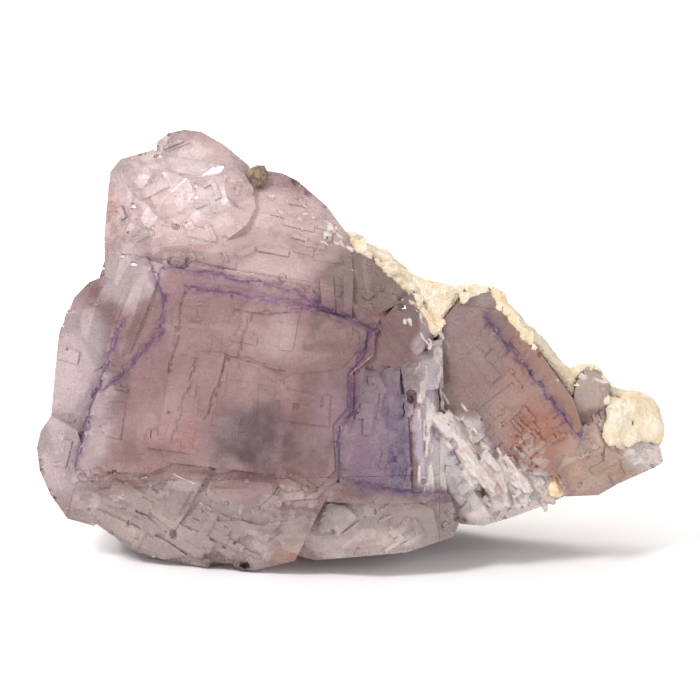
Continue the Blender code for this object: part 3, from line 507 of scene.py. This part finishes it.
shaken = stretched(tree, shake, (0.5, 0.0, 0.5), flat_place)
shaken = stretched(tree, small_flakes["Jog"], (0.7, 0.0, 0.7), shaken)


def near_edges(runs):
    """The distance to the nearest of these edges."""
    nearest = None
    for run_points in runs:
        for start, end in zip(run_points, run_points[1:]):
            run = Vector((end[0] - start[0], 0.0, end[1] - start[1]))
            sockets = {
                "Position": shaken, "Start": (start[0], 0.0, start[1]),
                "Run": run, "Pace": run / run.length_squared,
            }
            apart = use(tree, edge_distance, sockets)["Distance"]
            nearest = apart if nearest is None else sum_of(tree, "MINIMUM", nearest, apart)
    return nearest


# A violet line is a dark core with an uneven glow beside it, in the layers under the front faces.
# A fine line is a core alone. All are in millimetres.
LINE_CORE = 0.36
LINE_HALO = 1.6
FINE_CORE, FINE_EDGE = 0.1, 0.22
SKIN_FULL, SKIN_END = 17.0, 19.0
depth = put(tree, "ShaderNodeSeparateXYZ", {0: place}).outputs["Y"]
front_skin = ramp_of(tree, depth, SKIN_END, SKIN_FULL)
apart = near_edges(VIOLET_EDGES)
patchy = ramp_of(tree, ragged["Fac"], 0.36, 0.62, 0.05, 0.7)
glow = sum_of(tree, "MULTIPLY", ramp_of(tree, apart, LINE_HALO, 0.0), patchy)
faint = ramp_of(tree, cloud["Fac"], 0.3, 0.6, 0.75, 1.0)
line = sum_of(tree, "MULTIPLY", ramp_of(tree, apart, LINE_CORE, LINE_CORE * 0.3), faint)
violet = sum_of(tree, "MULTIPLY", sum_of(tree, "MAXIMUM", line, glow), front_skin)
fine = ramp_of(tree, near_edges(FINE_EDGES), FINE_EDGE, FINE_CORE)
fine = sum_of(tree, "MULTIPLY", fine, front_skin)
colour = blend_of(tree, violet, colour, (0.105, 0.036, 0.15))
colour = blend_of(tree, sum_of(tree, "MULTIPLY", fine, 0.85), colour, (0.14, 0.07, 0.09))

# Milky veils, then the patchwork of the broken parts, flake by flake: the lighter flakes are whitish frost
# with painted highlight, and the darker ones are painted shade, as on facets turned to and from the light.
veil = ramp_of(tree, cloud["Fac"], 0.42, 0.68, 0.0, 0.25)
colour = blend_of(tree, veil, colour, (0.62, 0.48, 0.47))
BROKEN_PARTS = [
    # centre, size, softness, strength
    ((-27.0, 14.0, 56.0), (18.0, 24.0, 14.0), 0.6, 0.9),
    ((-10.0, 14.0, 50.0), (14.0, 24.0, 7.0), 0.5, 0.45),
    ((-20.0, 14.0, 6.0), (32.0, 24.0, 9.5), 0.2, 0.6),
    ((21.0, 14.0, 14.0), (13.0, 20.0, 11.0), 0.4, 0.8),
    ((41.0, 18.0, 20.0), (9.0, 20.0, 12.0), 0.5, 0.4),
    ((-42.0, 14.0, 26.0), (8.0, 20.0, 20.0), 0.4, 0.2),
]
broken = 0.08
for centre, size, softness, strength in BROKEN_PARTS:
    broken = sum_of(tree, "MAXIMUM", broken, zone_mask(tree, place, centre, size, softness, strength))
large_flake_light_and_shade = sum_of(tree, "MULTIPLY", large_flakes["Height"], 0.7)
flake_light_and_shade = sum_of(tree, "MULTIPLY_ADD", small_flakes["Height"], 0.5, large_flake_light_and_shade)
# Painted highlight, over whitish frost, on the lighter flakes
frost_and_highlight_flake = sum_of(tree, "MULTIPLY", ramp_of(tree, flake_light_and_shade, 0.55, 1.0), broken)
colour = blend_of(tree, sum_of(tree, "MULTIPLY", frost_and_highlight_flake, 0.6), colour, (0.92, 0.84, 0.82))
# Painted shade on the darker flakes
painted_shade_flake = sum_of(tree, "MULTIPLY", ramp_of(tree, flake_light_and_shade, 0.5, 0.2), broken)
colour = blend_of(tree, sum_of(tree, "MULTIPLY", painted_shade_flake, 0.5), colour, (0.50, 0.36, 0.36))

# Pink veins in the crest, and brown specks
crest = zone_mask(tree, place, (-28.0, 14.0, 53.0), (13.0, 24.0, 10.0), 0.6, 0.55)
vein = sum_of(tree, "ABSOLUTE", sum_of(tree, "SUBTRACT", ragged["Fac"], 0.5))
vein = sum_of(tree, "MULTIPLY", ramp_of(tree, vein, 0.05, 0.0), crest)
colour = blend_of(tree, vein, colour, (0.64, 0.36, 0.38))
SPECKS = [(-27.0, 30.0), (-27.2, 23.8), (-36.2, 14.8), (-18.2, 31.8), (25.0, 20.2), (28.0, 15.7)]
for x, z in SPECKS:
    speck = zone_mask(tree, flat_place, (x, 0.0, z), (0.45, 1.0, 0.36), 0.6, 0.8)
    colour = blend_of(tree, speck, colour, (0.17, 0.06, 0.04))

# The small flakes stand up a little, and the clear parts shine while the cloudy ones are dull
relief = sum_of(tree, "MULTIPLY", small_flakes["Height"], 0.1)
dress(tree, glass, colour, ramp_of(tree, ragged["Fac"], 0.35, 0.65, 0.08, 0.32), relief, 0.9)
glass.inputs["IOR"].default_value = FLUORITE_IOR
glass.inputs["Transmission Weight"].default_value = 0.55
glass.inputs["Metallic"].default_value = 0.0
absorption = put(tree, "ShaderNodeVolumeAbsorption", {"Color": (0.80, 0.68, 0.74, 1.0), "Density": 14.0})
tree.links.new(absorption.outputs["Volume"], tree.nodes["Material Output"].inputs["Volume"])

fluorite.data.materials.append(finish)
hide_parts("fluorite")
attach(fluorite, "root")


# Splinters: slivers of the same fluorite, split along the cleavage and still lodged on the broken edges.
# Each is a little roof-shaped prism, cloudy white because light scatters in its many cracks.
# They run together into crumbly masses, rooted in the crystal.
SPLINTER_CELL = 0.0002
SPLINTER_FORWARD = -0.25
SPLINTER_SCATTER = 0.6
THICKEST = 0.9
SPLINTER_FIELDS = [
    # start, end, spread, how many, direction, wander, longest, width share
    ((13.8, 24.5), (22.0, 12.5), 2.0, 70, -56.0, 3.0, 4.6, 0.4),
    ((19.0, 15.5), (31.0, 10.5), 2.2, 60, -52.0, 5.0, 3.6, 0.45),
    ((13.3, 34.0), (13.8, 25.0), 0.3, 16, 86.0, 4.0, 2.8, 0.4),
    ((10.8, 32.0), (11.8, 13.0), 1.1, 34, 88.0, 3.0, 3.8, 0.3),
    ((-12.0, 55.0), (0.0, 49.3), 1.8, 36, -48.0, 14.0, 1.8, 0.6),
    ((9.0, 39.5), (13.5, 34.0), 1.6, 24, -58.0, 14.0, 2.0, 0.6),
    ((40.5, 18.0), (47.0, 17.0), 1.3, 30, -12.0, 8.0, 2.8, 0.4),
    ((33.8, 29.4), (38.6, 28.2), 0.4, 12, -20.0, 16.0, 1.6, 0.6),
]
splinter_shapes = bmesh.new()
for start, end, spread, count, degrees, wander, longest, share in SPLINTER_FIELDS:
    for splinter in range(count):
        along_field = Vector(start).lerp(Vector(end), chance.random())
        aside = Vector((chance.gauss(0.0, spread), chance.gauss(0.0, spread)))
        x, z = along_field + aside * SPLINTER_SCATTER
        found = surface_at(x, z)
        if not found or found[1].y > SPLINTER_FORWARD:
            continue
        point, normal = found
        angle = math.radians(degrees + chance.gauss(0.0, wander))
        length = longest * chance.uniform(0.3, 1.0)
        width = length * share * chance.uniform(0.6, 1.3)
        along = Vector((math.cos(angle), 0.0, math.sin(angle)))
        along = (along - normal * along.dot(normal)).normalized()
        across = normal.cross(along)
        tip = chance.uniform(0.2, 0.45)
        corners = [
            (-0.5, -0.5, -0.5), (-0.5, 0.5, -0.5), (0.5, -0.5, -0.5), (0.5, 0.5, -0.5),
            (-tip, chance.uniform(-0.3, 0.3), 0.4),
            (tip, chance.uniform(-0.3, 0.3), chance.uniform(0.2, 0.7)),
        ]
        rise = min(width, THICKEST) * chance.uniform(0.5, 1.1)
        points = [
            splinter_shapes.verts.new(point + along * length * a + across * width * b + normal * rise * c)
            for a, b, c in corners
        ]
        bmesh.ops.convex_hull(splinter_shapes, input=points)
splinters = piece_from("frosted_splinters", splinter_shapes)


def merge_parts(piece, cell):
    """Makes one skin round all of a piece's parts, in cells of this size."""
    cells = piece.modifiers.new("cells", "REMESH")
    cells.mode = "VOXEL"
    cells.voxel_size = cell
    work_on(piece)
    bpy.ops.object.modifier_apply(modifier="cells")


merge_parts(splinters, SPLINTER_CELL)
bpy.ops.object.shade_smooth()

finish, tree, glass, place = new_finish("fluorite_frosted")
mist = clouds_of(tree, place, 0.7, 3.0, 0.6)["Fac"]
colour = blend_of(tree, ramp_of(tree, mist, 0.35, 0.65), (0.80, 0.62, 0.56), (0.92, 0.85, 0.82))
dress(tree, glass, colour, ramp_of(tree, mist, 0.3, 0.7, 0.3, 0.55), mist, 0.5)
glass.inputs["IOR"].default_value = FLUORITE_IOR
glass.inputs["Transmission Weight"].default_value = 0.45
splinters.data.materials.append(finish)
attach(splinters, "root")


# Matrix rock: the cream, granular limestone that the crystals grew on, broken rough all round.
# It comes away in crumbs, so it has no flat face, only lumps, pores and grains.
ROCK_CELL = 0.00036
ROCK_SWELL = 0.1
rock = welded_copy("matrix_rock_rough", "matrix_rock")

# Crumbs of it cling to the crystals along the seam, and fill the gap that the solids keep
CRUST_RUNS = [
    # the run over the display face, how many crumbs, spread, smallest, largest
    (
        [(21.4, 42.3), (23.2, 39.9), (24.4, 38.6), (26.5, 35.6), (28.2, 33.8), (30.6, 30.9), (33.2, 27.4)],
        130, 0.4, 0.45, 1.0,
    ),
    ([(0.0, 50.0), (2.5, 47.8), (5.0, 45.8), (7.5, 43.8), (9.0, 42.0)], 44, 0.3, 0.35, 0.7),
    ([(9.0, 42.0), (11.0, 39.5), (12.7, 37.0), (13.4, 35.0)], 52, 0.4, 0.4, 0.9),
    ([(13.3, 37.2), (15.3, 40.0), (18.0, 41.9), (20.4, 42.8)], 60, 0.3, 0.4, 0.85),
    ([(38.8, 25.6), (40.3, 25.4), (41.9, 23.8), (42.3, 20.8), (41.6, 19.2)], 40, 0.3, 0.45, 0.8),
    ([(42.4, 26.0), (42.7, 24.0), (42.9, 22.0), (43.0, 20.0)], 44, 0.4, 0.7, 1.2),
    ([(33.4, 29.6), (35.2, 30.4), (37.0, 30.2), (38.8, 28.4)], 18, 0.15, 0.3, 0.5),
    ([(-5.0, 49.0), (-3.5, 50.0), (-2.0, 51.5)], 6, 0.4, 0.35, 0.5),
]
# A thin coat of it reaches from those seams back to the rock itself
COAT_RUNS = [
    # the run, the way its surface faces over the display face, how many crumbs, how far back
    ([(21.8, 42.0), (26.8, 35.8), (33.2, 27.6)], (0.76, 0.65), 170, 9.0),
    ([(0.0, 50.0), (5.0, 45.8), (9.0, 42.0)], (0.6, 0.8), 110, 10.0),
]
rock_shape = bmesh.new()
rock_shape.from_mesh(rock.data)
CRUMB_CORNERS = 9
CRUMB_WIDTH = 1.2


def add_crumb(point, size, thickness):
    """Adds one angular crumb of rock. Thickness says how deep it is from front to back."""
    crumb = []
    for corner in range(CRUMB_CORNERS):
        x, y, z = Vector([chance.uniform(-1.0, 1.0) for axis in range(3)]).normalized() * size
        corner_at = point + Vector((x * CRUMB_WIDTH, y * thickness, z * CRUMB_WIDTH))
        crumb.append(rock_shape.verts.new(corner_at))
    hull = bmesh.ops.convex_hull(rock_shape, input=crumb)
    bmesh.ops.delete(rock_shape, geom=list({*hull["geom_interior"]}), context="VERTS")
    crumb = [vert for vert in crumb if vert.is_valid]
    bmesh.ops.transform(rock_shape, matrix=TO_SPECIMEN, verts=crumb)


def along_run(run):
    """A random point of a run."""
    leg = chance.randrange(len(run) - 1)
    return Vector(run[leg]).lerp(Vector(run[leg + 1]), chance.random())


for run, count, spread, smallest, largest in CRUST_RUNS:
    for crumb in range(count):
        x, z = along_run(run) + Vector((chance.gauss(0.0, spread), chance.gauss(0.0, spread)))
        found = surface_at(x, z)
        if found:
            add_crumb(found[0], chance.uniform(smallest, largest), 0.5)

# Each crumb of the coat is found by a line from outside, and has to lie near the edge it starts from
COAT_REACH = 30.0
COAT_SLACK = 14.0
for run, (right, up), count, back in COAT_RUNS:
    for crumb in range(count):
        x, z = along_run(run)
        found = surface_at(x, z)
        if not found:
            continue
        edge = Vector((x, found[0].y + chance.uniform(0.0, back), z))
        side = surface_from(edge + Vector((right, 0.0, up)) * COAT_REACH, (-right, 0.0, -up))
        if side and (side[0] - edge).length < COAT_SLACK:
            add_crumb(side[0], chance.uniform(0.7, 1.4), 1.2)
rock_shape.to_mesh(rock.data)
rock_shape.free()
merge_parts(rock, ROCK_CELL)

# The broken surface, kept inside the specimen's own box
outward = [vert.normal.copy() for vert in rock.data.vertices]
for vert, normal in zip(rock.data.vertices, outward):
    at = vert.co * PER_METRE
    near, next_near = noise.voronoi(at / 1.3)[0][:2]
    lump = noise.noise(at / 2.4) * 0.3 + (next_near - near) * 0.12
    lump = lump + noise.turbulence(at / 0.9, 3, True) * 0.22 + ROCK_SWELL
    swollen = vert.co + normal * MILLIMETRE * lump
    vert.co = [min(max(here, low), high) for here, low, high in zip(swollen, *cad_box)]
bpy.ops.object.shade_flat()

finish, tree, stone, place = new_finish("limestone_cream")
blotch = clouds_of(tree, place, 0.28, 5.0, 0.62)["Fac"]
grains = put(tree, "ShaderNodeTexVoronoi", {"Vector": place, "Scale": 1.6}, feature="F1").outputs
fine_grain = clouds_of(tree, place, 3.2, 5.0, 0.75)["Fac"]
colour = blend_of(tree, ramp_of(tree, blotch, 0.38, 0.62), (0.79, 0.63, 0.43), (0.87, 0.78, 0.64))
colour = blend_of(tree, ramp_of(tree, blotch, 0.60, 0.72, 0.0, 0.8), colour, (0.66, 0.46, 0.26))
colour = blend_of(tree, ramp_of(tree, fine_grain, 0.62, 0.74, 0.0, 0.5), colour, (0.48, 0.34, 0.22))
relief = sum_of(tree, "MULTIPLY", fine_grain, 0.35)
relief = sum_of(tree, "MULTIPLY_ADD", grains["Distance"], -0.25, relief)
dress(tree, stone, colour, ramp_of(tree, fine_grain, 0.3, 0.7, 0.8, 0.95), relief, 1.0)
rock.data.materials.append(finish)
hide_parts("matrix_rock")
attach(rock, "root")


# Calcite chip: a peach-coloured grain of calcite caught at the front right, waxy on its breaks.
# Its outline narrows from its root in the crystal to a front that ends in a low ridge.
CHIP_ROOT = 2.2
CHIP_X, CHIP_Z = 31.0, 13.0
CHIP_OUTLINE = [
    (30.3, 15.6), (31.3, 14.2), (32.5, 11.3), (31.4, 10.8),
    (29.9, 11.0), (29.5, 12.2), (30.3, 12.9), (29.9, 13.8),
]
chip_front = surface_at(CHIP_X, CHIP_Z)[0].y
chip_shape = bmesh.new()
for x, z in CHIP_OUTLINE:
    chip_shape.verts.new((x, chip_front + CHIP_ROOT, z))
    chip_shape.verts.new((CHIP_X + (x - CHIP_X) * 0.8, chip_front - 0.15, CHIP_Z + (z - CHIP_Z) * 0.85))
chip_shape.verts.new((30.9, chip_front - 0.75, 13.2))
chip_shape.verts.new((31.3, chip_front - 0.6, 12.0))
bmesh.ops.convex_hull(chip_shape, input=chip_shape.verts)
chip = piece_from("calcite_chip_waxy", chip_shape)

finish, tree, wax, place = new_finish("calcite_peach")
mottle = clouds_of(tree, place, 0.9, 4.0)["Fac"]
colour = blend_of(tree, ramp_of(tree, mottle, 0.4, 0.6), (0.82, 0.50, 0.30), (0.88, 0.68, 0.50))
dress(tree, wax, colour, ramp_of(tree, mottle, 0.3, 0.7, 0.5, 0.7), mottle, 0.4)
chip.data.materials.append(finish)
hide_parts("calcite_chip")
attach(chip, "root")


# Ironstone grain: a dull brown clod of iron oxide, earthy and matt.
# It is stuck in the notch of the crest, and keeps the shape of its solid.
clod = welded_copy("ironstone_clod", "ironstone_grain")

finish, tree, earth, place = new_finish("ironstone_brown")
crust = clouds_of(tree, place, 1.4, 5.0, 0.7)["Fac"]
colour = blend_of(tree, ramp_of(tree, crust, 0.4, 0.62), (0.16, 0.10, 0.07), (0.38, 0.28, 0.20))
dress(tree, earth, colour, ramp_of(tree, crust, 0.3, 0.7, 0.8, 0.95), crust, 0.9)
clod.data.materials.append(finish)
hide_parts("ironstone_grain")
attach(clod, "root")


# The studio: a plain pale floor, a soft light high on the left, a weaker one on the right and one behind.
# The light round about is white and even, so that the shadows stay soft.
bpy.ops.object.select_all(action="DESELECT")
bpy.ops.mesh.primitive_plane_add(size=6.0, location=(0.0, 0.0, -0.0002))
floor = bpy.context.active_object
floor.name = "floor"
finish = bpy.data.materials.new("pale_floor")
finish.use_nodes = True
paint = finish.node_tree.nodes["Principled BSDF"]
paint.inputs["Base Color"].default_value = (0.92, 0.92, 0.92, 1.0)
paint.inputs["Roughness"].default_value = 0.9
floor.data.materials.append(finish)

world = bpy.data.worlds.new("studio")
world.use_nodes = True
sky = world.node_tree.nodes["Background"]
sky.inputs["Color"].default_value = (1.0, 0.99, 0.98, 1.0)
sky.inputs["Strength"].default_value = 0.64
bpy.context.scene.world = world

AIM = Vector((0.0, 0.0, 0.03))
for name, spot, power, size in (
    ("key_light", (-0.5, -0.55, 0.75), 8.0, 0.25),
    ("fill_light", (0.65, -0.6, 0.35), 3.2, 0.5),
    ("back_light", (-0.35, 0.75, 0.55), 7.0, 0.4),
):
    lamp = bpy.data.objects.new(name, bpy.data.lights.new(name, "AREA"))
    lamp.data.energy = power
    lamp.data.size = size
    lamp.location = spot
    lamp.rotation_euler = (AIM - Vector(spot)).to_track_quat("-Z", "Y").to_euler()
    bpy.context.scene.collection.objects.link(lamp)

# The camera looks square on to the display face through a long lens
LENS = 500.0
SENSOR = 36.0
FRAME_WIDTH = 0.105
TARGET = Vector((-0.0002, -0.00818, 0.03306))
towards_camera = Vector((0.0, -math.cos(LEAN), math.sin(LEAN)))
camera = bpy.data.objects.new("camera", bpy.data.cameras.new("camera"))
camera.data.lens = LENS
camera.data.sensor_width = SENSOR
camera.data.clip_start = 0.05
camera.data.clip_end = 20.0
camera.location = TARGET + towards_camera * FRAME_WIDTH * LENS / SENSOR
camera.rotation_euler = (-towards_camera).to_track_quat("-Z", "Y").to_euler()
bpy.context.scene.collection.objects.link(camera)
bpy.context.scene.camera = camera
bpy.context.scene.view_settings.view_transform = "Standard"

# The crystal is milky, so few light bounces are enough
light_paths = bpy.context.scene.cycles
light_paths.max_bounces = 4
light_paths.transmission_bounces = 4
light_paths.diffuse_bounces = 2
light_paths.glossy_bounces = 2
